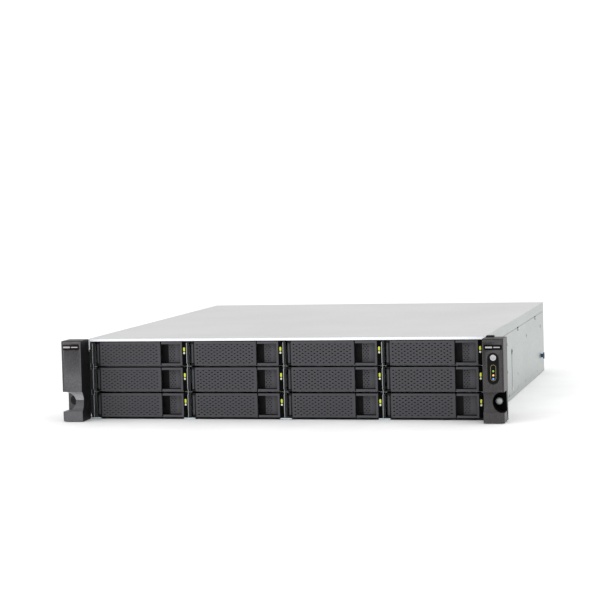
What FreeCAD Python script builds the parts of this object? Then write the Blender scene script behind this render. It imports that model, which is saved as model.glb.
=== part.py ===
"""Rack-mount network storage unit, two rack units high, with twelve front drive trays.

Everything is drawn with the tray faces in the plane y = 0, the floor at z = 0 and x = 0 in the
middle, with +y running to the back. Saving a node moves it so that the origin of the finished
model is the middle of the bottom of its bounding box.
"""
import FreeCAD, Part
import math
import os
from FreeCAD import Vector

# Overall size
HEIGHT = 88.1
BODY_HALF = 219.6
BODY_DEPTH = 506.0
EAR_REACH = 28.0
HANDLE_REACH = 20.0

# Sheet metal
SHEET = 1.2
FLOOR = 1.0
COVER = 1.0
FLANGE_BOTTOM = 76.7
FLANGE_GAP = 0.4
COVER_SEAM = 157.0
SEAM_GAP = 0.6
HEM_BOTTOM = 84.9
LIP_INSET = 4.0
LIP_OVERLAP = 4.0
LIP_LENGTH = 8.0
REAR_FLANGE_X = (-215.0, 130.0)
REAR_FLANGE_BOTTOM = 78.0
COVER_SCREW_Z = 82.0
SHELL_FRONT = 1.0
SIDE_LIP = 3.4
SIDE_LIP_BOTTOM = 4.5

# Small holes through each side wall, as (y, z, radius)
SIDE_HOLES = [(197, 53, 2.4), (247, 22.5, 1.6), (247, 7.5, 1.6), (312, 7, 1.6), (430, 6.4, 1.6)]

# Drive bays: pitch of the columns and rows, and where the first one starts
COLUMNS = 4
ROWS = 3
COLUMN_PITCH = 107.9
ROW_PITCH = 28.1
FIRST_COLUMN_X = -215.9
FIRST_ROW_Z = 2.0
FACE_HEIGHT = 25.8

# One tray, measured from the start of its column and the foot of its face
RAIL_X = 2.9
RAIL = 1.5
DRIVE_WIDTH = 101.6
DRIVE_LENGTH = 147.0
DRIVE_HEIGHT = 26.1
DRIVE_Y = 17.0
DRIVE_Z = 0.2
STRAP_BOTTOM = -0.4
STRAP_WIDTH = 16.0
RAIL_HEIGHT = 23.0
TRAY_LENGTH = 167.0
BEZEL_BACK = 12.5
BEZEL_WALL = 2.0
HINGE_X = 6.3
HINGE_Y = 4.5
LUG_RADIUS = 3.2
LUG_OVERHANG = 0.2
LUG_HEIGHT = 1.8
BARREL_RADIUS = 2.2
PIN_RADIUS = 0.6
PIN_CLEARANCE = 0.05
LEVER_X = 8.9
LEVER_WIDTH = 69.1
LEVER_WALL = 2.0
LEVER_DEPTH = 9.5
FRAME_X = 79.2
FRAME_WIDTH = 23.7
FRAME_BAR = 2.45
FRAME_LIP = 3.0
LIGHT_COLUMN_END = 107.5
LIGHT_COLUMN_Y = 0.9
PIPE_WIDTH = 2.2
RUNNING_GAP = 0.3

# Cage behind the trays
LIP_WIDTH = 2.5
LIP_TOP = 84.3
FOOT_TOP = 1.3
DIVIDER_X = 0.7
DIVIDER = 1.0
LAST_WALL = (216.1, 216.9)
LEDGE_FRONT = 3.0
LEDGE_DROP = 1.4
LEDGE = 0.6
LEDGE_REACH = 1.2
CAGE_DEPTH = 180.0
CAGE_TOP = 86.4
BOARD = 2.0

# Fans
FAN_SIZE = 80.0
FAN_DEPTH = 25.0
FAN_BORE = 38.5
FAN_Z = 43.5
FAN_PITCH = 140.0
FAN_COUNT = 3
FAN_BLADES = 7
FAN_WALL_Y = 200.0
SHAFT_RADIUS = 2.0

# Mainboard and heatsink
BOARD_X = (-205.0, 125.0)
BOARD_Y = (252.0, 498.0)
BOARD_THICKNESS = 1.6
PROCESSOR = 4.4
SINK_X = (-105.0, -25.0)
SINK_Y = (315.0, 405.0)
SINK_TOP = 72.0
FIN = 1.2
FIN_COUNT = 17

# Power supplies, stacked at the back
SUPPLY_X = 136.0
SUPPLY_WIDTH = 75.5
SUPPLY_HEIGHT = 39.0
SUPPLY_LENGTH = 243.0
SUPPLY_BOTTOMS = [3.0, 44.5]
SUPPLY_BACK = 505.5
SUPPLY_FRONT = SUPPLY_BACK - SUPPLY_LENGTH
INLET_X = (142.0, 169.0)
INLET_Z = (9.0, 28.5)
FAN_MOUTH = (187.5, 17.5)
MOUTH_RADIUS = 14.5
HANDLE_X = (171.0, 174.5)
HANDLE_Z = (4.0, 35.0)
HANDLE_BAR = 4.0
TAB_Z = (33.6, 37.6)
BAY_WALL_X = 133.0
BAY_X = 134.0
BAY_GAP = 0.6
BAY_SETBACK = 2.0

# Ears, drawn on the right and mirrored to the left
EAR_X = 219.3
EAR_WIDTH = 22.0
EAR_BOTTOM = 0.2
EAR_TOP = 87.9
FLANGE = 2.0
BRACKET_SHEET = 1.5
CORNER = 1.5
SCOOP_RADIUS = 13.5
NOTCH_X = 239.0
NOTCH_RADIUS = 10.7
NOTCH_FLOOR_Y = -10.5
SCREW_X = 234.0
SCREW_Z = 21.8
SCREW_RADIUS = 2.41
SCREW_NECK = 1.9
PANEL_X = 230.3
PANEL_Z = 57.0
PANEL_WIDTH = 11.5
PANEL_HEIGHT = 32.5
LENS_HEIGHTS = [54.3, 50.0, 46.3]
BADGE_WIDTH = 19.0
LEFT_BADGE = (81.2, 6.3)
RIGHT_BADGE = (79.0, 5.6)
BUTTON_Z = 68.2
BUTTON_RADIUS = 3.2

# Sockets of the mainboard, by the x where each block starts
SOCKET_Z = 8.6
SOCKET_FRONT = 488.0
SOCKET_BACK = 506.4
NETWORK_X = -150.0
OPTICAL_X = -76.0
USB_X = -38.0

# Expansion slots in the rear panel
FIRST_SLOT_X = 60.0
SLOT_PITCH = 20.3
SLOT_COUNT = 3
SLOT_WIDTH = 14.0
SLOT_LAP = 2.5
SLOT_Z = (14.0, 78.0)

# Rivets and screw heads on each side wall, as (y, z)
RIVETS = [(158.0, 65.0), (158.0, 34.0), (171.0, 6.0), (330.0, 60.0), (470.0, 60.0)]
BRACKET_SCREWS = [(18.0, 15.0), (18.0, 65.0), (46.0, 15.0), (46.0, 65.0)]
RAIL_STUD = (473.0, 22.0)

ORIGIN_Y = (BODY_DEPTH + HANDLE_REACH - EAR_REACH) / 2

Z_AXIS = Vector(0, 0, 1)
Y_AXIS = Vector(0, 1, 0)


def block(x, y, z):
    """A box from three (low, high) pairs."""
    return Part.makeBox(x[1] - x[0], y[1] - y[0], z[1] - z[0], Vector(x[0], y[0], z[0]))


def rod(radius, start, end):
    """A cylinder between two points."""
    start = Vector(*start)
    along = Vector(*end) - start
    return Part.makeCylinder(radius, along.Length, start, along)


def fuse(shapes):
    """One solid from touching or overlapping shapes."""
    return shapes[0].multiFuse(shapes[1:]).removeSplitter()


def cut(shape, tools):
    """The shape with every tool taken away."""
    return shape.cut(tools)


def moved(shape, x=0.0, y=0.0, z=0.0):
    """A copy of the shape, shifted."""
    copy = shape.copy()
    copy.translate(Vector(x, y, z))
    return copy


def mirrored(shape):
    """The left-hand copy of a right-hand shape."""
    return shape.mirror(Vector(0, 0, 0), Vector(1, 0, 0))


def stadium(x, z, width, height, y):
    """An upright slot with round ends, centred on x and z, between two depths."""
    radius = width / 2
    reach = height / 2 - radius
    slot = block((x - radius, x + radius), y, (z - reach, z + reach))
    ends = [rod(radius, (x, y[0], z + end), (x, y[1], z + end)) for end in (-reach, reach)]
    return fuse([slot] + ends)


def save(name, solids):
    """Write one node in the frame of the finished model."""
    shape = solids[0] if len(solids) == 1 else Part.makeCompound(solids)
    moved(shape, y=-ORIGIN_Y).exportStep(f"parts/{name}.step")


# Chassis

def chassis_base():
    """Floor, two side plates, and the wall and shelf of the power supplies' bays."""
    inside = BODY_HALF - SHEET
    floor = block((-inside, inside), (SHELL_FRONT, BODY_DEPTH), (0, FLOOR))
    right = side_plate()
    bay_end = BODY_DEPTH - BAY_SETBACK
    bay_wall = block((BAY_WALL_X, BAY_X), (SUPPLY_FRONT - 12.5, bay_end), (FLOOR, CAGE_TOP))
    shelf_z = (SUPPLY_BOTTOMS[0] + SUPPLY_HEIGHT + BAY_GAP, SUPPLY_BOTTOMS[1] - BAY_GAP)
    shelf = block((BAY_X, inside), (SUPPLY_FRONT - 10.5, bay_end), shelf_z)
    return [floor, right, mirrored(right), bay_wall, shelf]


def side_plate():
    """Right side wall, stepped in under the covers' flanges, with a folded front lip."""
    upper = BODY_HALF - COVER - FLANGE_GAP
    joggle = FLANGE_BOTTOM - FLANGE_GAP
    y = (SHELL_FRONT, BODY_DEPTH)
    walls = [
        block((BODY_HALF - SHEET, BODY_HALF), y, (0, joggle)),
        block((upper - SHEET, BODY_HALF), y, (joggle - SHEET, joggle)),
        block((upper - SHEET, upper), y, (joggle - SHEET, CAGE_TOP)),
        block((BODY_HALF - SIDE_LIP, BODY_HALF), (0, SHELL_FRONT), (SIDE_LIP_BOTTOM, joggle)),
    ]
    return cut(fuse(walls), side_holes() + lip_notches())


def side_holes():
    """Small holes through the right side wall."""
    tools = []
    for y, z, radius in SIDE_HOLES:
        tools.append(rod(radius, (BODY_HALF - 2, y, z), (BODY_HALF + 1, y, z)))
    return tools


def lip_notches():
    """Notches in the side wall's front lip, between the rows of trays."""
    tools = []
    inner = BODY_HALF - SIDE_LIP
    for row in range(1, ROWS):
        z = row_z(row)
        tools.append(block((inner - 1, inner + 2), (-1, 2), (z - 4.0, z + 2.5)))
    return tools


def rear_panel():
    """Rear wall with openings for the sockets, the slots and the power supplies."""
    upper = BODY_HALF - COVER - FLANGE_GAP - SHEET
    plate = block((-upper, upper), (BODY_DEPTH - SHEET, BODY_DEPTH), (FLOOR, CAGE_TOP))
    y = (BODY_DEPTH - 3, BODY_DEPTH + 1)
    supply_top = SUPPLY_BOTTOMS[1] + SUPPLY_HEIGHT
    windows = [block((134.0, 214.0), y, (SUPPLY_BOTTOMS[0] - 1, supply_top + 1))]
    for x, z in socket_boxes():
        gap = RUNNING_GAP
        windows.append(block((x[0] - gap, x[1] + gap), y, (z[0] - gap, z[1] + gap)))
    for x in slot_places():
        windows.append(block((x, x + SLOT_WIDTH), y, SLOT_Z))
    for x in cover_screw_places():
        windows.append(rod(1.8, (x, y[0], COVER_SCREW_Z), (x, y[1], COVER_SCREW_Z)))
    return cut(plate, windows)


def slot_places():
    """Left edges of the three expansion slots."""
    return [FIRST_SLOT_X + i * SLOT_PITCH for i in range(SLOT_COUNT)]


def cover_screw_places():
    """Places of the screws in the rear cover's back flange."""
    return [-195.0, -45.0, 105.0]


def front_top_cover():
    """Fixed cover over the bays: top, flanges, front hem, and a lip under the rear cover."""
    seam = COVER_SEAM - SEAM_GAP / 2
    inside = BODY_HALF - COVER
    lip_half = BODY_HALF - LIP_INSET
    lip_start = seam - LIP_OVERLAP
    lip_top = HEIGHT - COVER - RUNNING_GAP
    right = block((inside, BODY_HALF), (0, seam), (FLANGE_BOTTOM, HEIGHT))
    return [
        block((-inside, inside), (COVER, seam), (HEIGHT - COVER, HEIGHT)),
        block((-inside, inside), (0, COVER), (HEM_BOTTOM, HEIGHT)),
        right,
        mirrored(right),
        block((-lip_half, lip_half), (lip_start, seam), (lip_top, HEIGHT - COVER)),
        block((-lip_half, lip_half), (lip_start, seam + LIP_LENGTH), (CAGE_TOP, lip_top)),
    ]


def rear_top_cover():
    """Removable cover, with a back flange and the screws that hold it."""
    y0 = COVER_SEAM + SEAM_GAP / 2
    y1 = BODY_DEPTH + RUNNING_GAP + COVER
    top = block((-BODY_HALF, BODY_HALF), (y0, y1), (HEIGHT - COVER, HEIGHT))
    right = block((BODY_HALF - COVER, BODY_HALF), (y0, BODY_DEPTH), (FLANGE_BOTTOM, HEIGHT))
    back = block(REAR_FLANGE_X, (y1 - COVER, y1), (REAR_FLANGE_BOTTOM, HEIGHT))
    holes = []
    screws = []
    z = COVER_SCREW_Z
    for x in cover_screw_places():
        holes.append(rod(1.6, (x, y1 - 2, z), (x, y1 + 1, z)))
        head = rod(2.8, (x, y1, z), (x, y1 + 1.8, z))
        shank = rod(1.5, (x, y1 - 6, z), (x, y1 + 0.5, z))
        screws.append(fuse([head, shank]))
    return [cut(fuse([top, right, mirrored(right), back]), holes)] + screws


# Drive bays

def column_x(column):
    """Where a column of trays starts."""
    return FIRST_COLUMN_X + column * COLUMN_PITCH


def row_z(row):
    """The foot of the tray faces in a row."""
    return FIRST_ROW_Z + row * ROW_PITCH


def drive_cage():
    """Dividers, row ledges, folded front lips, foot tabs, and the ties at the back."""
    solids = []
    ledge_y = (LEDGE_FRONT, CAGE_DEPTH)
    for column in range(COLUMNS + 1):
        x = column_x(column)
        wall = (x + DIVIDER_X, x + DIVIDER_X + DIVIDER)
        if column == COLUMNS:
            wall = LAST_WALL
        solids.append(block(wall, (SHELL_FRONT, CAGE_DEPTH), (FLOOR + 0.2, CAGE_TOP)))
        for row in range(1, ROWS):
            z = (row_z(row) - LEDGE_DROP, row_z(row) - LEDGE_DROP + LEDGE)
            if column < COLUMNS:
                solids.append(block((wall[1], x + RAIL_X + LEDGE_REACH), ledge_y, z))
            if column > 0:
                rail_end = x - COLUMN_PITCH + LIGHT_COLUMN_END
                solids.append(block((rail_end - LEDGE_REACH, wall[0]), ledge_y, z))
        if column < COLUMNS:
            solids += divider_front(x)
    for z in ((FLOOR + 0.2, 5.0), (82.5, CAGE_TOP)):
        tie_x = (column_x(0) + DIVIDER_X, LAST_WALL[1])
        solids.append(block(tie_x, (CAGE_DEPTH, CAGE_DEPTH + SHEET), z))
    return solids


def divider_front(x):
    """The folded front edge of one divider, notched beside the lugs, and its foot tab."""
    width = (x, x + LIP_WIDTH)
    notches = []
    for row in range(1, ROWS):
        z = row_z(row)
        notches.append(block((x + 1.9, x + 3.0), (-1, 2), (z - 3.5, z + 2.0)))
    lip = cut(block(width, (0, SHELL_FRONT), (FOOT_TOP, LIP_TOP)), notches)
    tab_x = (max(x - 4.5, 0.3 - BODY_HALF), x + 8.0)
    tab = block(tab_x, (-0.8, 0.2), (0, FOOT_TOP))
    foot = block(width, (-0.8, SHELL_FRONT), (0, FOOT_TOP))
    return [lip, fuse([tab, foot])]


def backplane():
    """Board across the cage, with one socket for each drive and air holes between."""
    y = CAGE_DEPTH + SHEET
    board = block((-213.0, 213.0), (y, y + BOARD), (1.5, 84.5))
    air = []
    sockets = []
    for column in range(COLUMNS):
        for row in range(ROWS):
            x = column_x(column)
            z = row_z(row)
            air.append(block((x + 62.0, x + 98.0), (y - 1, y + BOARD + 1), (z + 5, z + 20)))
            sockets.append(block((x + 10.0, x + 52.0), (168.5, y), (z + 4.0, z + 10.0)))
    return [cut(board, air)] + sockets


# One tray and its moving pieces, drawn at the start of a column and the foot of a face

def hinge_lugs():
    """The two knuckles that hold the lever's pin."""
    lugs = []
    top = FACE_HEIGHT + LUG_OVERHANG
    for z in ((-LUG_OVERHANG, LUG_HEIGHT), (FACE_HEIGHT - LUG_HEIGHT, top)):
        lugs.append(rod(LUG_RADIUS, (HINGE_X, HINGE_Y, z[0]), (HINGE_X, HINGE_Y, z[1])))
        x = (HINGE_X - LUG_RADIUS, HINGE_X + LUG_RADIUS)
        lugs.append(block(x, (HINGE_Y, BEZEL_BACK + BEZEL_WALL), z))
    return lugs


def tray_bezel():
    """Moulded front: back plate, cheek, hinge lugs and light column."""
    start = RAIL_X + 0.2
    wall_y = (BEZEL_BACK, BEZEL_BACK + BEZEL_WALL)
    plate = block((start, LIGHT_COLUMN_END), wall_y, (0, FACE_HEIGHT))
    cheek_z = (LUG_HEIGHT - 0.5, FACE_HEIGHT - LUG_HEIGHT + 0.5)
    cheek = block((start, start + 0.7), (7.0, BEZEL_BACK), cheek_z)
    column_x = (FRAME_X + FRAME_WIDTH, LIGHT_COLUMN_END)
    column = block(column_x, (LIGHT_COLUMN_Y, BEZEL_BACK), (0, FACE_HEIGHT))
    bezel = fuse([plate, cheek, column] + hinge_lugs())
    pin_hole = rod(PIN_RADIUS, (HINGE_X, HINGE_Y, -1), (HINGE_X, HINGE_Y, FACE_HEIGHT + 1))
    return cut(bezel, [pin_hole] + light_pipes())


def tray_frame():
    """C-shaped frame round the finger recess, on the front of the bezel."""
    end = FRAME_X + FRAME_WIDTH
    shapes = [block((end - FRAME_BAR, end), (0, FRAME_LIP), (0, FACE_HEIGHT))]
    for z in ((0, FRAME_BAR), (FACE_HEIGHT - FRAME_BAR, FACE_HEIGHT)):
        shapes.append(block((FRAME_X, end), (0, BEZEL_BACK), z))
    return fuse(shapes)


def light_pipes():
    """The two lenses of the light column."""
    middle = (FRAME_X + FRAME_WIDTH + LIGHT_COLUMN_END) / 2
    x = (middle - PIPE_WIDTH / 2, middle + PIPE_WIDTH / 2)
    y = (LIGHT_COLUMN_Y - 0.5, 6.0)
    return [block(x, y, (15.4, 20.0)), block(x, y, (12.2, 14.8))]


def tray_carrier():
    """Two side rails, and the straps between them under the drive."""
    y = (BEZEL_BACK + BEZEL_WALL, TRAY_LENGTH)
    inner = (RAIL_X + RAIL, RAIL_X + RAIL + DRIVE_WIDTH)
    solids = []
    for x in (RAIL_X, inner[1]):
        solids.append(block((x, x + RAIL), y, (STRAP_BOTTOM, RAIL_HEIGHT)))
    for start in (y[0], 80.0, 145.0):
        solids.append(block(inner, (start, start + STRAP_WIDTH), (STRAP_BOTTOM, DRIVE_Z)))
    return solids


def drive():
    """A 3.5 inch drive."""
    x = RAIL_X + RAIL
    y = (DRIVE_Y, DRIVE_Y + DRIVE_LENGTH)
    return block((x, x + DRIVE_WIDTH), y, (DRIVE_Z, DRIVE_Z + DRIVE_HEIGHT))


def drive_tray():
    """Bezel, frame, hinge pin, drive, carrier and light pipes, as separate solids."""
    pin_top = FACE_HEIGHT + LUG_OVERHANG
    pin = rod(PIN_RADIUS, (HINGE_X, HINGE_Y, -LUG_OVERHANG), (HINGE_X, HINGE_Y, pin_top))
    return [tray_bezel(), tray_frame(), pin, drive()] + tray_carrier() + light_pipes()


def tray_lever():
    """Handle across the tray: a face with flanges, and an arm to its hinge barrel."""
    end = LEVER_X + LEVER_WIDTH
    face = block((LEVER_X, end), (0, LEVER_WALL), (0, FACE_HEIGHT))
    flanges = []
    for z in ((0, SHEET), (FACE_HEIGHT - SHEET, FACE_HEIGHT)):
        flanges.append(block((13.0, end - 1.0), (0, LEVER_DEPTH), z))
    z0 = LUG_HEIGHT + RUNNING_GAP
    z1 = FACE_HEIGHT - z0
    barrel = rod(BARREL_RADIUS, (HINGE_X, HINGE_Y, z0), (HINGE_X, HINGE_Y, z1))
    arm = block((HINGE_X, 11.5), (LEVER_WALL - 0.1, 6.0), (z0, z1))
    catch = block((74.5, 77.0), (LEVER_WALL - 0.5, 10.0), (9.0, 17.0))
    lever = fuse([face, barrel, arm, catch] + flanges)
    bore = PIN_RADIUS + PIN_CLEARANCE
    return cut(lever, [rod(bore, (HINGE_X, HINGE_Y, -1), (HINGE_X, HINGE_Y, FACE_HEIGHT + 1))])


def tray_latch():
    """Curved release plate in the finger recess, with a tongue behind it."""
    front = [Vector(85.4, 7.6, 0), Vector(92.0, 7.6, 0)]
    tip = [Vector(99.2, 3.4, 0), Vector(100.6, 3.4, 0)]
    back = [Vector(92.0, 9.4, 0), Vector(85.4, 9.4, 0)]
    edges = [
        Part.makeLine(front[0], front[1]),
        Part.Arc(front[1], Vector(96.9, 6.3, 0), tip[0]).toShape(),
        Part.makeLine(tip[0], tip[1]),
        Part.Arc(tip[1], Vector(97.9, 7.7, 0), back[0]).toShape(),
        Part.makeLine(back[0], back[1]),
        Part.makeLine(back[1], front[0]),
    ]
    z0 = FRAME_BAR + RUNNING_GAP
    plate = Part.Face(Part.Wire(edges)).extrude(Vector(0, 0, FACE_HEIGHT - 2 * z0))
    plate.translate(Vector(0, 0, z0))
    tongue = block((87.0, 91.5), (9.0, BEZEL_BACK - RUNNING_GAP), (8.0, 18.0))
    return fuse([plate, tongue])


# Fans

def fan_places():
    """The x of each fan's axis."""
    middle = (FAN_COUNT - 1) / 2
    return [(i - middle) * FAN_PITCH for i in range(FAN_COUNT)]


def fan_wall():
    """Bracket across the chassis and a frame for each fan, with its fixed shaft."""
    y = FAN_WALL_Y
    bracket = block((-215.0, 215.0), (y, y + SHEET), (FLOOR, 85.0))
    foot = block((-215.0, 215.0), (y - 10.0, y + SHEET), (FLOOR, FLOOR + SHEET))
    holes = [rod(FAN_BORE, (x, y - 1, FAN_Z), (x, y + 2, FAN_Z)) for x in fan_places()]
    return [cut(fuse([bracket, foot]), holes)] + [fan_frame(x) for x in fan_places()]


def fan_frame(x):
    """Square frame with a round bore, four struts, a motor plate and the shaft."""
    half = FAN_SIZE / 2
    y0 = FAN_WALL_Y + SHEET
    y1 = y0 + FAN_DEPTH
    z = FAN_Z
    frame = block((x - half, x + half), (y0, y1), (z - half, z + half))
    frame = cut(frame, [rod(FAN_BORE, (x, y0 - 1, z), (x, y1 + 1, z))])
    plate = rod(16.0, (x, y1 - 3, z), (x, y1, z))
    shaft = rod(SHAFT_RADIUS, (x, y0 + 3, z), (x, y1 - 2, z))
    reach = FAN_BORE + 1
    struts = [
        block((x - reach, x + reach), (y1 - 3, y1), (z - 1.5, z + 1.5)),
        block((x - 1.5, x + 1.5), (y1 - 3, y1), (z - reach, z + reach)),
    ]
    return fuse([frame, plate, shaft] + struts)


def fan_rotor(x):
    """Hub with tilted blades, bored for the shaft."""
    y0 = FAN_WALL_Y + SHEET + 2
    y1 = FAN_WALL_Y + SHEET + FAN_DEPTH - 3.5
    middle = (y0 + y1) / 2
    hub = rod(17.0, (x, y0, FAN_Z), (x, y1, FAN_Z))
    centre = Vector(x, middle, FAN_Z)
    blades = []
    for i in range(FAN_BLADES):
        blade = block((x - 0.8, x + 0.8), (middle - 8.5, middle + 8.5), (FAN_Z + 16, FAN_Z + 37))
        blade.rotate(centre, Z_AXIS, 38)
        blade.rotate(centre, Y_AXIS, 360 * i / FAN_BLADES)
        blades.append(blade)
    bore = SHAFT_RADIUS + PIN_CLEARANCE
    return cut(fuse([hub] + blades), [rod(bore, (x, y0 + 0.5, FAN_Z), (x, y1 + 1, FAN_Z))])


# Electronics

def mainboard():
    """Board on standoffs, with the processor, memory, chipset and power sockets."""
    top = SOCKET_Z
    under = top - BOARD_THICKNESS
    solids = [block(BOARD_X, BOARD_Y, (under, top))]
    for x in (-195.0, -40.0, 115.0):
        for y in (262.0, 375.0, 480.0):
            solids.append(rod(3.0, (x, y, FLOOR), (x, y, under)))
    solids.append(block((-85.0, -45.0), (340.0, 380.0), (top, top + PROCESSOR)))
    for i in range(4):
        x = 30.0 + 9.5 * i
        solids.append(block((x - 3, x + 3), (300.0, 440.0), (top, top + 4)))
        solids.append(block((x - 0.6, x + 0.6), (303.5, 436.5), (top + 4, top + 33)))
    solids.append(block((-170.0, -135.0), (400.0, 435.0), (top, top + 9)))
    solids.append(block((85.0, 118.0), (262.0, 272.0), (top, top + 13)))
    solids.append(rod(10.0, (-160.0, 320.0, top), (-160.0, 320.0, top + 5)))
    return solids


def processor_heatsink():
    """Base with upright fins, over the processor."""
    z0 = SOCKET_Z + PROCESSOR
    fins = [block(SINK_X, SINK_Y, (z0, z0 + 6))]
    pitch = (SINK_X[1] - SINK_X[0] - FIN) / (FIN_COUNT - 1)
    for i in range(FIN_COUNT):
        x = SINK_X[0] + pitch * i
        fins.append(block((x, x + FIN), SINK_Y, (z0 + 5, SINK_TOP)))
    return fuse(fins)


def socket_boxes():
    """Outlines of the three socket blocks, as (x range, z range)."""
    z0 = SOCKET_Z
    return [
        ((NETWORK_X, NETWORK_X + 66.0), (z0, z0 + 13.5)),
        ((OPTICAL_X, OPTICAL_X + 31.0), (z0, z0 + 12.5)),
        ((USB_X, USB_X + 32.0), (z0, z0 + 17.5)),
    ]


def socket_pockets():
    """Mouths of the sockets, as (x range, z range)."""
    z0 = SOCKET_Z
    mouths = [[], [], []]
    for i in range(4):
        x = NETWORK_X + 2.3 + 16.4 * i
        mouths[0].append(((x, x + 12.2), (z0 + 2.5, z0 + 11.0)))
    for i in range(2):
        x = OPTICAL_X + 1.2 + 14.8 * i
        mouths[1].append(((x, x + 13.8), (z0 + 1.5, z0 + 10.8)))
        x = USB_X + 1.5 + 15.4 * i
        for z in (z0 + 1.6, z0 + 9.9):
            mouths[2].append(((x, x + 13.6), (z, z + 6.0)))
    return mouths


def rear_ports():
    """Network, optical and USB socket blocks, and the blanking plates of the slots."""
    y = (SOCKET_FRONT, SOCKET_BACK)
    deep = (SOCKET_BACK - 14.0, SOCKET_BACK + 1)
    solids = []
    for (x, z), mouths in zip(socket_boxes(), socket_pockets()):
        pockets = [block(mouth_x, deep, mouth_z) for mouth_x, mouth_z in mouths]
        solids.append(cut(block(x, y, z), pockets))
    inset = BODY_DEPTH - SHEET
    for x in slot_places():
        cover_x = (x - SLOT_LAP, x + SLOT_WIDTH + SLOT_LAP)
        cover_z = (SLOT_Z[0] - 2.0, SLOT_Z[1] + 2.0)
        solids.append(block(cover_x, (inset - 0.8, inset), cover_z))
    return solids


# Power supplies, drawn at height zero

def power_supply():
    """Module with an inlet, a fan mouth, a latch pocket and a pull handle."""
    x = (SUPPLY_X, SUPPLY_X + SUPPLY_WIDTH)
    body = block(x, (SUPPLY_FRONT, SUPPLY_BACK), (0, SUPPLY_HEIGHT))
    inlet = block(INLET_X, (SUPPLY_BACK - 14, SUPPLY_BACK + 1), INLET_Z)
    x, z = FAN_MOUTH
    mouth = rod(MOUTH_RADIUS, (x, SUPPLY_BACK - 3, z), (x, SUPPLY_BACK + 1, z))
    pocket = block((199.0, 210.0), (SUPPLY_BACK - 8, SUPPLY_BACK + 1), (33.2, 38.0))
    reach = BODY_DEPTH + HANDLE_REACH
    low, high = HANDLE_Z
    grip = block(HANDLE_X, (reach - HANDLE_BAR, reach), HANDLE_Z)
    posts = []
    for z in ((low, low + HANDLE_BAR), (high - HANDLE_BAR, high)):
        posts.append(block(HANDLE_X, (SUPPLY_BACK - 1, reach), z))
    return cut(fuse([body, grip] + posts), [inlet, mouth, pocket])


def power_supply_latch():
    """Release tab above the fan mouth."""
    stem = block((202.0, 206.5), (SUPPLY_BACK - 7, SUPPLY_BACK + 2), TAB_Z)
    tab = block((202.0, 209.5), (SUPPLY_BACK + 0.5, SUPPLY_BACK + 11), TAB_Z)
    return fuse([stem, tab])


# Ears, brackets and screws

def ear_body():
    """Right-hand ear: block with a scooped foot, a screw notch and a hollow back."""
    x = (EAR_X, EAR_X + EAR_WIDTH)
    body = block(x, (-EAR_REACH, -FLANGE), (EAR_BOTTOM, EAR_TOP))
    rounded = []
    for edge in body.Edges:
        box = edge.BoundBox
        front_top = box.ZMin > EAR_TOP - 1 and box.YMax < 1 - EAR_REACH
        foot_corner = box.ZMax < EAR_BOTTOM + 1 and box.XMin > x[1] - 1
        if front_top or foot_corner:
            rounded.append(edge)
    body = body.makeFillet(CORNER, rounded)
    scoop_y = -EAR_REACH - math.sqrt(SCOOP_RADIUS ** 2 - NOTCH_RADIUS ** 2)
    far = x[1] + 1
    scoop = rod(SCOOP_RADIUS, (x[0] - 1, scoop_y, SCREW_Z), (far, scoop_y, SCREW_Z))
    notch_y = (-EAR_REACH - 1, NOTCH_FLOOR_Y)
    notch = rod(NOTCH_RADIUS, (NOTCH_X, notch_y[0], SCREW_Z), (NOTCH_X, notch_y[1], SCREW_Z))
    notch_z = (SCREW_Z - NOTCH_RADIUS, SCREW_Z + NOTCH_RADIUS)
    side = block((NOTCH_X, far), notch_y, notch_z)
    hollow = block((x[0] + 2, x[1] - 2), (2.5 - EAR_REACH, 0), (35.0, 85.0))
    hole = rod(SCREW_NECK + 0.4, (SCREW_X, -12, SCREW_Z), (SCREW_X, 0, SCREW_Z))
    seam_x = (x[1] - 1.6, x[1] - 1.1)
    seam = block(seam_x, (-EAR_REACH - 1, 0.8 - EAR_REACH), (SCREW_Z + NOTCH_RADIUS, EAR_TOP - 1.5))
    return cut(body, [scoop, notch, side, hollow, hole, seam])


def badge(z, height):
    """A plain rounded plate on the face of an ear."""
    x = (PANEL_X - BADGE_WIDTH / 2, PANEL_X + BADGE_WIDTH / 2)
    plate = block(x, (-EAR_REACH, -EAR_REACH + 0.5), z_span(z, height))
    corners = [edge for edge in plate.Edges if edge.BoundBox.YLength > 0.4]
    return plate.makeFillet(CORNER, corners)


def z_span(middle, height):
    """A range of heights about its middle."""
    return (middle - height / 2, middle + height / 2)


def left_ear():
    """Left ear with its badge."""
    plate = badge(*LEFT_BADGE)
    return [mirrored(cut(ear_body(), [plate])), mirrored(plate)]


def right_ear():
    """Right ear with its badge, status panel and lenses."""
    plate = badge(*RIGHT_BADGE)
    front = -EAR_REACH
    pocket = stadium(PANEL_X, PANEL_Z, PANEL_WIDTH, PANEL_HEIGHT, (front - 1, front + 1.0))
    panel = stadium(PANEL_X, PANEL_Z, PANEL_WIDTH, PANEL_HEIGHT, (front + 0.3, front + 1.0))
    bore_y = (front - 1, front + 3.5)
    radius = BUTTON_RADIUS + 0.15
    bore = rod(radius, (PANEL_X, bore_y[0], BUTTON_Z), (PANEL_X, bore_y[1], BUTTON_Z))
    lenses = []
    for z in LENS_HEIGHTS:
        lenses.append(rod(0.8, (PANEL_X, front, z), (PANEL_X, front + 0.3, z)))
    ear = cut(ear_body(), [plate, pocket, bore])
    return [ear, plate, cut(panel, [bore])] + lenses


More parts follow.
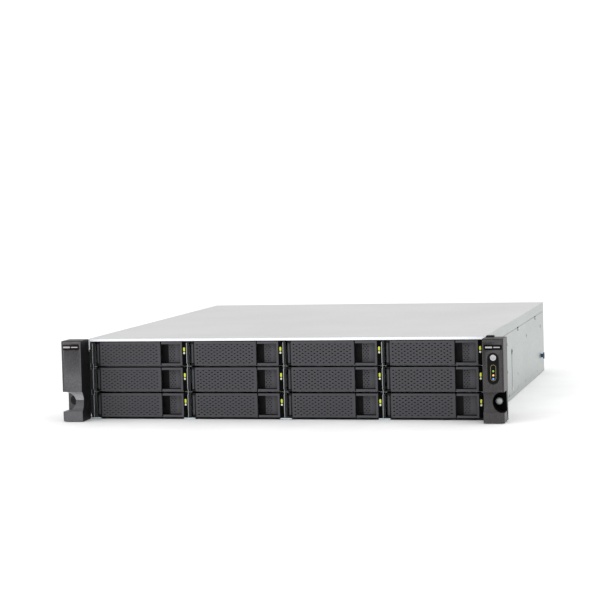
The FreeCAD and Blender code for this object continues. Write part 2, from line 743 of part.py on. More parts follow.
def power_button():
    """Round cap with a collar and a stem behind the ear's face."""
    front = -EAR_REACH
    cap = rod(BUTTON_RADIUS, (PANEL_X, front, BUTTON_Z), (PANEL_X, front + 4.5, BUTTON_Z))
    collar = rod(4.5, (PANEL_X, front + 3.0, BUTTON_Z), (PANEL_X, front + 4.5, BUTTON_Z))
    stem = rod(1.5, (PANEL_X, front + 4.0, BUTTON_Z), (PANEL_X, front + 14.0, BUTTON_Z))
    return fuse([cap, collar, stem])


def rack_bracket():
    """Right-hand steel angle: the flange that meets the rack and a leg on the side wall."""
    leg_x = (BODY_HALF, BODY_HALF + BRACKET_SHEET)
    flange = block((BODY_HALF, EAR_X + EAR_WIDTH), (-FLANGE, 0), (EAR_BOTTOM + 0.3, EAR_TOP - 0.4))
    leg = block(leg_x, (-FLANGE, 60.0), (6.0, 74.0))
    hole = rod(SCREW_RADIUS + 0.3, (SCREW_X, -3, SCREW_Z), (SCREW_X, 1, SCREW_Z))
    return cut(fuse([flange, leg]), [hole])


def rack_screw():
    """Right-hand captive screw: head, thin neck, and the thread behind the flange."""
    head_y = (NOTCH_FLOOR_Y - 4.0, NOTCH_FLOOR_Y - RUNNING_GAP)
    head = rod(3.7, (SCREW_X, head_y[0], SCREW_Z), (SCREW_X, head_y[1], SCREW_Z))
    neck = rod(SCREW_NECK, (SCREW_X, head_y[1] - 1, SCREW_Z), (SCREW_X, 1.0, SCREW_Z))
    thread = rod(SCREW_RADIUS, (SCREW_X, 0.4, SCREW_Z), (SCREW_X, 12.4, SCREW_Z))
    slot = block((SCREW_X - 3, SCREW_X + 3), (head_y[0] - 1, head_y[0] + 1), z_span(SCREW_Z, 1.0))
    return cut(fuse([head, neck, thread]), [slot])


def chassis_screws():
    """Rivets and rail studs on the side walls, and the screws of the brackets."""
    solids = []
    wall = BODY_HALF
    for y, z in RIVETS:
        solids.append(rod(1.8, (wall, y, z), (wall + 0.7, y, z)))
    for y, z in BRACKET_SCREWS:
        solids.append(rod(3.2, (wall + BRACKET_SHEET, y, z), (wall + BRACKET_SHEET + 1.1, y, z)))
    y, z = RAIL_STUD
    solids.append(rod(2.5, (wall, y, z), (wall + 3.0, y, z)))
    solids.append(rod(4.2, (wall + 3.0, y, z), (wall + 4.4, y, z)))
    return solids + [mirrored(solid) for solid in solids]


os.makedirs("parts", exist_ok=True)

save("chassis_base", chassis_base())
save("rear_panel", [rear_panel()])
save("front_top_cover", front_top_cover())
save("rear_top_cover", rear_top_cover())
save("drive_cage", drive_cage())
save("backplane", backplane())

TRAY = drive_tray()
LEVER = tray_lever()
LATCH = tray_latch()
for row in range(ROWS):
    for column in range(COLUMNS):
        place = {"x": column_x(column), "z": row_z(row)}
        bay = f"row{row + 1}_column{column + 1}"
        save(f"drive_tray_{bay}", [moved(solid, **place) for solid in TRAY])
        save(f"tray_lever_{bay}", [moved(LEVER, **place)])
        save(f"tray_latch_{bay}", [moved(LATCH, **place)])

save("fan_wall", fan_wall())
for number, x in enumerate(fan_places(), 1):
    save(f"fan_rotor_{number}", [fan_rotor(x)])

save("mainboard", mainboard())
save("processor_heatsink", [processor_heatsink()])
save("rear_ports", rear_ports())

SUPPLY = power_supply()
SUPPLY_LATCH = power_supply_latch()
for name, z in zip(("lower", "upper"), SUPPLY_BOTTOMS):
    save(f"power_supply_{name}", [moved(SUPPLY, z=z)])
    save(f"power_supply_latch_{name}", [moved(SUPPLY_LATCH, z=z)])

save("left_ear", left_ear())
save("right_ear", right_ear())
save("power_button", [power_button()])
BRACKET = rack_bracket()
save("rack_brackets", [BRACKET, mirrored(BRACKET)])
SCREW = rack_screw()
save("rack_screw_right", [SCREW])
save("rack_screw_left", [mirrored(SCREW)])
save("chassis_screws", chassis_screws())
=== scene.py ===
"""Looks of the rack-mount storage unit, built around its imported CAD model.

Shapes are drawn in millimetres from the front plane of the drive trays, the floor and the
middle of the unit, as in the CAD model, and turned into metres when their mesh is made.
"""
import math

import bmesh
import bpy
from mathutils import Matrix, Vector


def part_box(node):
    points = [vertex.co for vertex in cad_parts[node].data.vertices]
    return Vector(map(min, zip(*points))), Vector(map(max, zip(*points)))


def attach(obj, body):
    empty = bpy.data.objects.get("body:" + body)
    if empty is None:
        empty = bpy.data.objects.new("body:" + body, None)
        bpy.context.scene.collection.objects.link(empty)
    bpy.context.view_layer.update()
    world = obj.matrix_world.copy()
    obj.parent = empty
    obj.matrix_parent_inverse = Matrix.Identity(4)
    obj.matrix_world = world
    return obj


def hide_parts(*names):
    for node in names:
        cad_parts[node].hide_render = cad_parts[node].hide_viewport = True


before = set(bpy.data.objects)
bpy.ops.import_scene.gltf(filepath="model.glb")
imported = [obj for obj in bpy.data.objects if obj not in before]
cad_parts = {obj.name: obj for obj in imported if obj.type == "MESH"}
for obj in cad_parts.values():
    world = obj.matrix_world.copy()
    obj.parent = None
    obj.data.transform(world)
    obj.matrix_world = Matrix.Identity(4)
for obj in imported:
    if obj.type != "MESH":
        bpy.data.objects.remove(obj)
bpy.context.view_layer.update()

MM = 0.001
COLUMNS = 4
ROWS = 3
ROW_PITCH = 28.1
HINGE_TO_COLUMN = 4.1
FACE_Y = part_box("tray_lever_row1_column1")[0].y
BODY_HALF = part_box("chassis_base")[1].x / MM
BODY_DEPTH = (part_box("chassis_base")[1].y - FACE_Y) / MM
ORIGIN = Matrix.Translation((0, FACE_Y, 0))

# The tray's front, from the start of its column and the foot of its face
FACE_HEIGHT = 25.8
LEVER_X = (8.9, 78.0)
HINGE = (6.3, 4.5)
FRAME_X = (79.2, 102.9)
COLUMN_X = (102.9, 107.5)
BEZEL_START = 3.1

# The ears, as distances from the middle of the unit and heights
EAR_INNER_X = 219.3
EAR_FRONT = -28.0
PANEL_X = 230.3
PANEL_Z = 57.0
BUTTON_Z = 68.2
LEFT_BADGE_Z = (78.05, 84.35)
RIGHT_BADGE_Z = (76.2, 81.8)
NOTCH = (239.0, 21.8)
NOTCH_RADIUS = 10.7
SCREW_X = 234.0
SCREW_FRONT = -14.3
WASHER_Y = (-11.2, -10.4)

# The mainboard, and rows of like parts at its back as (start, pitch, count) along x
BOARD_TOP = 8.6
MEMORY_X = (20, 65)
NETWORK_SOCKETS = (-150.0, 16.4, 4)
OPTICAL_SOCKETS = (-76.0, 14.8, 2)
USB_SOCKETS = (-38.0, 15.4, 2)
SLOTS = (60.0, 20.3, 3)
SLOT_COVER_Y = (505.0, 505.6)

# The power supplies, with heights from the bottom of each
SUPPLY_BOTTOMS = (3.0, 44.5)
SUPPLY_BACK = 505.5
SUPPLY_RECESS_X = (136.5, 211.0)
SUPPLY_RECESS_DEPTH = 14.5
FAN_MOUTH = (187.5, 17.5)
SUPPLY_LAMP = (195.5, 35.6)


# Materials

def srgb(red, green, blue):
    """A linear colour from the 0 to 255 values of a screen."""
    def linear(value):
        value /= 255
        return value / 12.92 if value <= 0.04045 else ((value + 0.055) / 1.055) ** 2.4
    return (linear(red), linear(green), linear(blue), 1.0)


def scaled(color, factor):
    """A colour made lighter or darker."""
    return tuple(min(1.0, channel * factor) for channel in color[:3]) + (1.0,)


def surface(name, color, rough, metallic=0.0, grain=700.0, fleck=0.15, bump=0.05, spread=0.08,
            stretch=(1, 1, 1), edge_light=0.0, coat=0.0, spangle=0.0, shine=0.5):
    """A material whose colour, roughness and height vary with its grain.

    grain is the noise's scale per metre, fleck the share by which the colour varies, spread the
    change in roughness, edge_light how much convex edges are painted lighter as a painted
    highlight, spangle the share of zinc crystals, and shine the strength of the surface's
    reflection.
    """
    material = bpy.data.materials.new(name)
    material.use_nodes = True
    nodes = material.node_tree.nodes
    link = material.node_tree.links.new
    shader = nodes["Principled BSDF"]
    shader.inputs["Metallic"].default_value = metallic
    shader.inputs["Coat Weight"].default_value = coat
    shader.inputs["Coat Roughness"].default_value = 0.12
    shader.inputs["Specular IOR Level"].default_value = shine

    place = nodes.new("ShaderNodeTexCoord")
    mapping = nodes.new("ShaderNodeMapping")
    mapping.inputs["Scale"].default_value = stretch
    link(place.outputs["Object"], mapping.inputs["Vector"])
    fine = nodes.new("ShaderNodeTexNoise")
    fine.inputs["Scale"].default_value = grain
    fine.inputs["Detail"].default_value = 3.0
    link(mapping.outputs["Vector"], fine.inputs["Vector"])
    cloudy = nodes.new("ShaderNodeTexNoise")
    cloudy.inputs["Scale"].default_value = 9.0
    cloudy.inputs["Detail"].default_value = 2.0
    link(place.outputs["Object"], cloudy.inputs["Vector"])

    ramp = nodes.new("ShaderNodeValToRGB")
    ramp.color_ramp.elements[0].position = 0.32
    ramp.color_ramp.elements[0].color = scaled(color, 1 - fleck)
    ramp.color_ramp.elements[1].position = 0.68
    ramp.color_ramp.elements[1].color = scaled(color, 1 + fleck)
    link(fine.outputs["Fac"], ramp.inputs["Fac"])
    shade = nodes.new("ShaderNodeMapRange")
    shade.inputs["From Min"].default_value = 0.3
    shade.inputs["From Max"].default_value = 0.7
    shade.inputs["To Min"].default_value = 0.96
    shade.inputs["To Max"].default_value = 1.04
    link(cloudy.outputs["Fac"], shade.inputs["Value"])
    tint = nodes.new("ShaderNodeVectorMath")
    tint.operation = "SCALE"
    link(ramp.outputs["Color"], tint.inputs[0])
    link(shade.outputs["Result"], tint.inputs["Scale"])
    out = tint.outputs["Vector"]

    if spangle:
        crystals = nodes.new("ShaderNodeTexVoronoi")
        crystals.inputs["Scale"].default_value = 260.0
        link(place.outputs["Object"], crystals.inputs["Vector"])
        flake = nodes.new("ShaderNodeSeparateColor")
        link(crystals.outputs["Color"], flake.inputs["Color"])
        level = nodes.new("ShaderNodeMapRange")
        level.inputs["To Min"].default_value = 1 - spangle
        level.inputs["To Max"].default_value = 1 + spangle
        link(flake.outputs["Red"], level.inputs["Value"])
        zinc = nodes.new("ShaderNodeVectorMath")
        zinc.operation = "SCALE"
        link(out, zinc.inputs[0])
        link(level.outputs["Result"], zinc.inputs["Scale"])
        out = zinc.outputs["Vector"]

    # Painted highlight: convex edges, found by pointiness, are painted lighter.
    if edge_light:
        geometry = nodes.new("ShaderNodeNewGeometry")
        edge = nodes.new("ShaderNodeMapRange")
        edge.inputs["From Min"].default_value = 0.52
        edge.inputs["From Max"].default_value = 0.62
        link(geometry.outputs["Pointiness"], edge.inputs["Value"])
        amount = nodes.new("ShaderNodeMath")
        amount.operation = "MULTIPLY"
        amount.inputs[1].default_value = edge_light
        link(edge.outputs["Result"], amount.inputs[0])
        lit_edge = nodes.new("ShaderNodeMix")
        lit_edge.data_type = "RGBA"
        lit_edge.inputs[7].default_value = scaled(color, 2.2)
        link(amount.outputs["Value"], lit_edge.inputs[0])
        link(out, lit_edge.inputs[6])
        out = lit_edge.outputs[2]
    link(out, shader.inputs["Base Color"])

    gloss = nodes.new("ShaderNodeMapRange")
    gloss.inputs["From Min"].default_value = 0.3
    gloss.inputs["From Max"].default_value = 0.7
    gloss.inputs["To Min"].default_value = max(0.02, rough - spread)
    gloss.inputs["To Max"].default_value = min(1.0, rough + spread)
    link(fine.outputs["Fac"], gloss.inputs["Value"])
    link(gloss.outputs["Result"], shader.inputs["Roughness"])

    if bump:
        relief = nodes.new("ShaderNodeBump")
        relief.inputs["Strength"].default_value = bump
        relief.inputs["Distance"].default_value = 0.0003
        link(fine.outputs["Fac"], relief.inputs["Height"])
        link(relief.outputs["Normal"], shader.inputs["Normal"])
    return material


def lit(name, color, strength):
    """A lens that glows in its own colour."""
    material = surface(name, color, 0.25, grain=300.0, fleck=0.04, bump=0.0, coat=0.6)
    shader = material.node_tree.nodes["Principled BSDF"]
    shader.inputs["Emission Color"].default_value = color
    shader.inputs["Emission Strength"].default_value = strength
    return material


BRUSHED = (1.0, 14.0, 14.0)
COVER_STEEL = surface("cover_steel", srgb(184, 184, 184), 0.46, 0.35, grain=260.0, fleck=0.015,
                      bump=0.02, stretch=BRUSHED, spangle=0.008)
# Painted highlight: the zinc foot tabs of the dividers, painted brighter and bluer than the zinc.
FOOT_HIGHLIGHT = surface("foot_painted_highlight", srgb(196, 208, 214), 0.4, 0.1, grain=260.0, fleck=0.03)
# Painted highlight: the covers' rolled front hem, painted far brighter than the cover steel.
HEM_HIGHLIGHT = surface("hem_painted_highlight", srgb(244, 246, 250), 0.4, 0.1, grain=260.0, fleck=0.015, bump=0.02)
ZINC_STEEL = surface("zinc_steel", srgb(166, 171, 170), 0.40, 0.60, grain=420.0, fleck=0.03,
                     bump=0.03, spangle=0.035)
# Painted shade: the zinc front lips of the dividers and side walls, painted near-black.
SHADED_LIP = surface("lip_painted_shade", srgb(34, 35, 38), 0.5, grain=500.0, fleck=0.05, edge_light=0.3,
                    shine=0.2)
DARK_STEEL = surface("dark_steel", srgb(104, 106, 108), 0.42, 0.8, grain=500.0, fleck=0.06)
BLACK_PAINT = surface("black_paint", srgb(26, 26, 28), 0.55, grain=2200.0, fleck=0.2, bump=0.2,
                      shine=0.25)
EAR_PLASTIC = surface("ear_plastic", srgb(78, 77, 80), 0.42, grain=1500.0, fleck=0.5, bump=0.3,
                      spread=0.1, edge_light=0.35, shine=0.35)
# Painted shade: the same plastic as the left ear, painted darker because the right ear is lit less.
EAR_SHADED = surface("ear_plastic_right_shaded", srgb(58, 56, 57), 0.42, grain=1500.0, fleck=0.5, bump=0.3,
                   spread=0.1, edge_light=0.35, shine=0.3)
# Painted highlight: the upper faces of the left ear's scoop, painted brighter than the ear plastic.
EAR_SCOOP_HIGHLIGHT = surface("ear_scoop_painted_highlight", srgb(150, 150, 153), 0.3, 0.3, grain=1500.0, fleck=0.25, bump=0.2)
TRAY_PLASTIC = surface("tray_plastic", srgb(68, 68, 72), 0.42, grain=2600.0, fleck=0.16,
                       bump=0.16, edge_light=0.4, shine=0.25)
BLACK_PLASTIC = surface("black_plastic", srgb(14, 14, 16), 0.5, grain=1800.0, fleck=0.2,
                        bump=0.12, edge_light=0.2, shine=0.2)
DEEP_BLACK = surface("deep_black", srgb(4, 4, 5), 0.75, grain=1200.0, fleck=0.2, bump=0.05,
                     shine=0.05)
GLOSS_BLACK = surface("gloss_black", srgb(6, 6, 8), 0.18, grain=600.0, fleck=0.1, bump=0.0,
                      spread=0.03, shine=0.12)
GREEN_LATCH = surface("green_latch", srgb(52, 126, 66), 0.4, grain=1500.0, fleck=0.08, bump=0.1)
SOLDER_MASK = surface("solder_mask", srgb(18, 74, 40), 0.32, grain=500.0, fleck=0.16, bump=0.1,
                      coat=0.3)
CHIP_BLACK = surface("chip_black", srgb(30, 30, 32), 0.45, grain=1500.0, fleck=0.15, bump=0.08)
NICKEL = surface("nickel", srgb(188, 188, 190), 0.26, 1.0, grain=900.0, fleck=0.04, bump=0.03)
ALUMINIUM = surface("aluminium", srgb(196, 197, 200), 0.34, 1.0, grain=600.0, fleck=0.05,
                    bump=0.05, stretch=(1, 12, 1))
DRIVE_STEEL = surface("drive_steel", srgb(172, 174, 178), 0.36, 0.9, grain=420.0, fleck=0.04,
                      bump=0.04, stretch=(10, 1, 1))
GOLD = surface("gold", srgb(226, 184, 92), 0.28, 1.0, grain=900.0, fleck=0.05, bump=0.0)
BRASS = surface("brass", srgb(196, 166, 96), 0.32, 1.0, grain=900.0, fleck=0.05, bump=0.0)
SOCKET_WHITE = surface("socket_white", srgb(206, 206, 200), 0.5, grain=900.0, fleck=0.03)
SOCKET_BLUE = surface("socket_blue", srgb(30, 84, 166), 0.42, grain=900.0, fleck=0.06)
BLANK_LABEL = surface("blank_label", srgb(220, 220, 216), 0.6, grain=700.0, fleck=0.02)
BADGE_BROWN = surface("badge_brown", srgb(38, 29, 28), 0.35, grain=1400.0, fleck=0.1, shine=0.15)
BADGE_MARK = surface("badge_mark", srgb(176, 176, 178), 0.35, 0.4, grain=900.0, fleck=0.04)
STUD_BLUE = surface("stud_blue", srgb(60, 86, 108), 0.35, 0.7, grain=900.0, fleck=0.08)
LENS_GREEN = lit("lens_green", srgb(196, 202, 16), 0.15)
LENS_WHITE = lit("lens_white", srgb(204, 212, 176), 0.1)
LAMP_GREEN = lit("lamp_green", srgb(112, 158, 56), 0.5)
LAMP_AMBER = lit("lamp_amber", srgb(240, 180, 112), 0.6)
LAMP_BLUE = lit("lamp_blue", srgb(88, 130, 220), 0.6)
LIGHT_LINE = lit("light_line", srgb(136, 126, 66), 0.15)


# Shapes

MIRROR = Matrix.Scale(-1, 4, (1, 0, 0))
FLAT = Matrix(((1, 0, 0, 0), (0, 0, 1, 0), (0, 1, 0, 0), (0, 0, 0, 1)))


def ellipse(x, z, across, high, steps=12):
    """Points round an ellipse of that width and height."""
    turn = 2 * math.pi / steps
    return [(x + across / 2 * math.cos(i * turn), z + high / 2 * math.sin(i * turn))
            for i in range(steps)]


def rounded(x, z, radius, steps=4):
    """Points round a rectangle with round corners, from two (low, high) pairs."""
    points = []
    corners = [(x[1], z[1], 0), (x[0], z[1], 1), (x[0], z[0], 2), (x[1], z[0], 3)]
    for corner_x, corner_z, quarter in corners:
        inward_x = -radius if corner_x == x[1] else radius
        inward_z = -radius if corner_z == z[1] else radius
        for i in range(steps + 1):
            angle = (quarter + i / steps) * math.pi / 2
            points.append((corner_x + inward_x + radius * math.cos(angle),
                           corner_z + inward_z + radius * math.sin(angle)))
    return points


def filled(outline, holes, depth, soft=0.0):
    """A mesh of a flat plate with holes, in the x and z plane, between two depths along y."""
    curve = bpy.data.curves.new("outline", "CURVE")
    curve.dimensions = "2D"
    curve.fill_mode = "BOTH"
    curve.extrude = (depth[1] - depth[0]) / 2 - soft
    curve.bevel_depth = soft
    curve.bevel_resolution = 1
    for loop in [outline] + holes:
        spline = curve.splines.new("POLY")
        spline.points.add(len(loop) - 1)
        for point, (x, z) in zip(spline.points, loop):
            point.co = (x, z, 0, 1)
        spline.use_cyclic_u = True
    holder = bpy.data.objects.new("outline", curve)
    bpy.context.scene.collection.objects.link(holder)
    bpy.context.view_layer.update()
    mesh = bpy.data.meshes.new_from_object(holder)
    bpy.data.objects.remove(holder)
    bpy.data.curves.remove(curve)
    middle = (depth[0] + depth[1]) / 2
    upright = Matrix(((1, 0, 0, 0), (0, 0, -1, middle), (0, 1, 0, 0), (0, 0, 0, 1)))
    mesh.transform(upright)
    return mesh


class Shape:
    """A mesh made up of closed forms, in millimetres, each with its own material."""

    def __init__(self):
        self.work = bmesh.new()
        self.materials = []
        self.known = set()

    def _claim(self, material):
        """Give the faces made since the last call this material."""
        if material not in self.materials:
            self.materials.append(material)
        index = self.materials.index(material)
        for face in self.work.faces:
            if face not in self.known:
                face.material_index = index
                self.known.add(face)

    def box(self, x, y, z, material, soft=0.25):
        """A block from three (low, high) pairs, with softened edges."""
        centre = Vector(((x[0] + x[1]) / 2, (y[0] + y[1]) / 2, (z[0] + z[1]) / 2))
        size = (x[1] - x[0], y[1] - y[0], z[1] - z[0])
        matrix = Matrix.Translation(centre) @ Matrix.Diagonal((*size, 1))
        made = bmesh.ops.create_cube(self.work, size=1, matrix=matrix)
        if soft:
            edges = list({edge for vert in made["verts"] for edge in vert.link_edges})
            reach = min(soft, min(size) * 0.3)
            bmesh.ops.bevel(self.work, geom=edges, offset=reach, segments=2, profile=0.5,
                            affect="EDGES")
        self._claim(material)

    def lathe(self, profile, centre, material, axis=(0, -1, 0), steps=32):
        """A turned form: (radius, height) pairs from the centre along the axis."""
        rings = []
        turned = Vector((0, 0, 1)).rotation_difference(Vector(axis)).to_matrix().to_4x4()
        place = Matrix.Translation(centre) @ turned
        for radius, height in profile:
            if radius < 1e-6:
                rings.append([self.work.verts.new(place @ Vector((0, 0, height)))])
                continue
            ring = []
            for i in range(steps):
                angle = 2 * math.pi * i / steps
                point = Vector((radius * math.cos(angle), radius * math.sin(angle), height))
                ring.append(self.work.verts.new(place @ point))
            rings.append(ring)
        for low, high in zip(rings, rings[1:]):
            self._join(low, high, steps)
        for ring, backwards in ((rings[0], True), (rings[-1], False)):
            if len(ring) > 1:
                self.work.faces.new(list(reversed(ring)) if backwards else ring)
        self._claim(material)

    def _join(self, low, high, steps):
        """Faces between two rings, either of which may be a point."""
        for i in range(steps):
            j = (i + 1) % steps
            if len(low) == 1:
                self.work.faces.new((low[0], high[i], high[j]))
            elif len(high) == 1:
                self.work.faces.new((low[i], low[j], high[0]))
            else:
                self.work.faces.new((low[i], low[j], high[j], high[i]))

    def plate(self, outline, holes, depth, material, soft=0.0, place=None):
        """A flat plate with holes, in the x and z plane."""
        mesh = filled(outline, holes, depth, soft)
        if place is not None:
            mesh.transform(place)
        self.work.from_mesh(mesh)
        bpy.data.meshes.remove(mesh)
        self._claim(material)

    def tube(self, path, radius, material, closed=True, steps=8):
        """A round wire along a path of points."""
        count = len(path)
        rings = []
        for i in range(count):
            before = Vector(path[i - 1] if closed or i > 0 else path[0])
            after = Vector(path[(i + 1) % count] if closed or i < count - 1 else path[i])
            along = (after - before).normalized()
            across = along.orthogonal() if abs(along.y) > 0.99 else along.cross((0, 1, 0))
            across.normalize()
            up = along.cross(across)
            ring = []
            for k in range(steps):
                angle = 2 * math.pi * k / steps
                offset = across * math.cos(angle) + up * math.sin(angle)
                ring.append(self.work.verts.new(Vector(path[i]) + offset * radius))
            rings.append(ring)
        for i in range(count if closed else count - 1):
            self._join(rings[i], rings[(i + 1) % count], steps)
        if not closed:
            self.work.faces.new(rings[0])
            self.work.faces.new(rings[-1])
        self._claim(material)

    def profile(self, points, z, material):
        """A form with an outline in the x and y plane, between two heights."""
        low = [self.work.verts.new((x, y, z[0])) for x, y in points]
        high = [self.work.verts.new((x, y, z[1])) for x, y in points]
        count = len(points)
        for i in range(count):
            j = (i + 1) % count
            self.work.faces.new((low[i], low[j], high[j], high[i]))
        self.work.faces.new(list(reversed(low)))
        self.work.faces.new(high)
        self._claim(material)

    def mesh(self, name, sharp=35.0):
        """The finished mesh, in metres."""
        bmesh.ops.remove_doubles(self.work, verts=self.work.verts, dist=1e-4)
        bmesh.ops.recalc_face_normals(self.work, faces=self.work.faces)
        mesh = bpy.data.meshes.new(name)
        self.work.to_mesh(mesh)
        self.work.free()
        mesh.transform(Matrix.Scale(MM, 4))
        for material in self.materials:
            mesh.materials.append(material)
        mesh.shade_smooth()
        mesh.set_sharp_from_angle(angle=math.radians(sharp))
        return mesh


def piece(name, mesh, body, at=ORIGIN, replaces=()):
    """Put a mesh in the scene, riding on a body."""
    made = bpy.data.objects.new(name, mesh)
    bpy.context.scene.collection.objects.link(made)
    made.matrix_world = at
    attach(made, body)
    if replaces:
        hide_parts(*replaces)
    return made


def mirror_of(mesh):
    """A mesh's left-hand copy."""
    copy = mesh.copy()
    copy.transform(MIRROR)
    copy.flip_normals()
    return copy


# CAD nodes that stay: softened edges, and a material for each of their solids

def solids_of(mesh):
    """Group a CAD node's faces by solid: (lowest corner, highest corner, faces) for each."""
    owner = {}
    for vertex in mesh.vertices:
        owner.setdefault(tuple(round(value, 6) for value in vertex.co), len(owner))
    welded = [owner[tuple(round(value, 6) for value in vertex.co)] for vertex in mesh.vertices]
    parent = list(range(len(owner)))

    def root(item):
        while parent[item] != item:
            parent[item] = parent[parent[item]]
            item = parent[item]
        return item

    for polygon in mesh.polygons:
        first = root(welded[polygon.vertices[0]])
        for vertex in polygon.vertices[1:]:
            parent[root(welded[vertex])] = first
    groups = {}
    for polygon in mesh.polygons:
        groups.setdefault(root(welded[polygon.vertices[0]]), []).append(polygon)
    found = []
    for faces in groups.values():
        points = [mesh.vertices[vertex].co for face in faces for vertex in face.vertices]
        low = [min(point[axis] for point in points) / MM for axis in range(3)]
        high = [max(point[axis] for point in points) / MM for axis in range(3)]
        low[1] -= FACE_Y / MM
        high[1] -= FACE_Y / MM
        found.append((Vector(low), Vector(high), faces))
    return found


def dress(node, material, soft=0.2, by_solid=None, by_face=None, smooth=True):
    """Give a CAD node its materials and softened edges.

    by_solid chooses a material from a solid's corners, and by_face one from a face's middle and
    direction. Either may answer None, which leaves the node's own material. Nodes made of flat
    sheets are not shaded smooth.
    """
    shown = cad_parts[node]
    mesh = shown.data
    mesh.materials.clear()
    palette = [material]

    def index_of(chosen):
        if chosen is None:
            return None
        if chosen not in palette:
            palette.append(chosen)
        return palette.index(chosen)

    for low, high, faces in solids_of(mesh):
        base = index_of(by_solid(low, high)) if by_solid else None
        for face in faces:
            index = base
            if by_face:
                middle = face.center / MM
                middle.y -= FACE_Y / MM
                index = index_of(by_face(middle, face.normal, low, high))
                index = base if index is None else index
            face.material_index = index or 0
    for chosen in palette:
        mesh.materials.append(chosen)
    if "custom_normal" in mesh.attributes:
        mesh.attributes.remove(mesh.attributes["custom_normal"])
    if smooth:
        mesh.shade_smooth()
    else:
        mesh.shade_flat()
    weld = shown.modifiers.new("weld", "WELD")
    weld.merge_threshold = 1e-6
    edge = shown.modifiers.new("soft_edges", "BEVEL")
    edge.width = soft * MM
    edge.segments = 2
    edge.limit_method = "ANGLE"
    edge.angle_limit = math.radians(40)
    edge.use_clamp_overlap = True
    edge.harden_normals = smooth


# Drive trays

def staggered_holes(x, z, pitch, rise, across, high):
    """Rows of oval holes, every other row set half a pitch to the side."""
    holes = []
    rows = int((z[1] - z[0]) / rise) + 1
    start_z = (z[0] + z[1] - (rows - 1) * rise) / 2
    for row in range(rows):
        spot = x[0] + pitch / 2 * (row % 2)
        while spot <= x[1] + 1e-6:
            holes.append(ellipse(spot, start_z + row * rise, across, high))
            spot += pitch
    return holes


def lever_mesh():
    """Perforated handle with flanges, ribs, hinge barrel, arm and catch; the near-black flanges are
    painted shade for the gaps between rows.
    """
    shape = Shape()
    soft = 0.18
    outline = rounded((LEVER_X[0] + soft, LEVER_X[1] - soft), (soft, FACE_HEIGHT - soft), 0.5)
    holes = staggered_holes((LEVER_X[0] + 3.1, LEVER_X[1] - 2.6), (2.6, FACE_HEIGHT - 3.2),
                            pitch=6.5, rise=1.98, across=2.5, high=1.5)
    shape.plate(outline, holes, (0, 1.4), TRAY_PLASTIC, soft)
    # Painted shade: near-black flanges, seen only through the gaps between rows.
    for z in ((0, 1.2), (FACE_HEIGHT - 1.2, FACE_HEIGHT)):
        shape.box((13.0, LEVER_X[1] - 1.0), (1.2, 9.5), z, DEEP_BLACK)
    for x in (LEVER_X[0] + 0.2, LEVER_X[1] - 1.4):
        shape.box((x, x + 1.2), (1.2, 3.4), (2.1, FACE_HEIGHT - 2.1), TRAY_PLASTIC)
    z = (2.1, FACE_HEIGHT - 2.1)
    length = z[1] - z[0]
    barrel = [(0.0, 0.0), (1.95, 0.0), (2.2, 0.25), (2.2, length - 0.25), (1.95, length),
              (0.0, length)]
    shape.lathe(barrel, (HINGE[0], HINGE[1], z[0]), TRAY_PLASTIC, axis=(0, 0, 1), steps=28)
    shape.box((HINGE[0] + 0.5, 11.5), (2.0, 6.0), (z[0] + 0.05, z[1] - 0.05), BLACK_PLASTIC)
    shape.box((74.5, 77.0), (1.2, 10.0), (9.0, 17.0), BLACK_PLASTIC)
    return shape.mesh("lever")


def latch_curve(steps=12):
    """Front outline of the release plate: flat at its left, then rolling forward to its right."""
    start = Vector((93.6, 7.6))
    end = Vector((100.3, 3.45))
    handle_a = Vector((97.6, 7.6))
    handle_b = Vector((99.7, 6.0))
    points = []
    for i in range(steps + 1):
        t = i / steps
        points.append(start * (1 - t) ** 3 + handle_a * 3 * t * (1 - t) ** 2
                      + handle_b * 3 * t ** 2 * (1 - t) + end * t ** 3)
    return points


def latch_mesh():
    """Perforated release plate that rolls forward at its right."""
    shape = Shape()
    z = (2.75, FACE_HEIGHT - 2.75)
    flat = rounded((85.4, 93.7), z, 0.3)
    holes = staggered_holes((86.9, 93.0), (z[0] + 1.9, z[1] - 1.7),
                            pitch=3.2, rise=2.05, across=1.5, high=1.15)
    shape.plate(flat, holes, (7.6, 9.2), TRAY_PLASTIC)
    front = latch_curve()
    outline = [(p.x, p.y) for p in front]
    back = []
    for i, p in enumerate(front):
        before = front[max(0, i - 1)]
        after = front[min(len(front) - 1, i + 1)]
        along = (after - before).normalized()
        back.append((min(p.x - along.y * 1.5, 100.6), p.y + along.x * 1.5))
    outline += list(reversed(back))
    shape.profile(outline, z, TRAY_PLASTIC)
    shape.box((87.0, 91.5), (9.0, 12.1), (8.0, 18.0), BLACK_PLASTIC)
    return shape.mesh("latch", 50.0)


def lens_mesh():
    """The two lenses in front of a tray's light pipes, and dark masks between them."""
    shape = Shape()
    middle = (COLUMN_X[0] + COLUMN_X[1]) / 2
    for z, material in (((15.6, 19.6), LENS_GREEN), ((12.6, 14.6), LENS_WHITE)):
        outline = rounded((middle - 0.8, middle + 0.8), z, 0.75)
        shape.plate(outline, [], (0.1, 0.7), material, 0.2)
    for z in ((0.2, 12.5), (14.7, 15.5), (19.7, FACE_HEIGHT - 0.2)):
        shape.box((COLUMN_X[0] + 0.1, COLUMN_X[1] - 0.1), (0.35, 1.1), z, DEEP_BLACK, 0.15)
    return shape.mesh("lens")


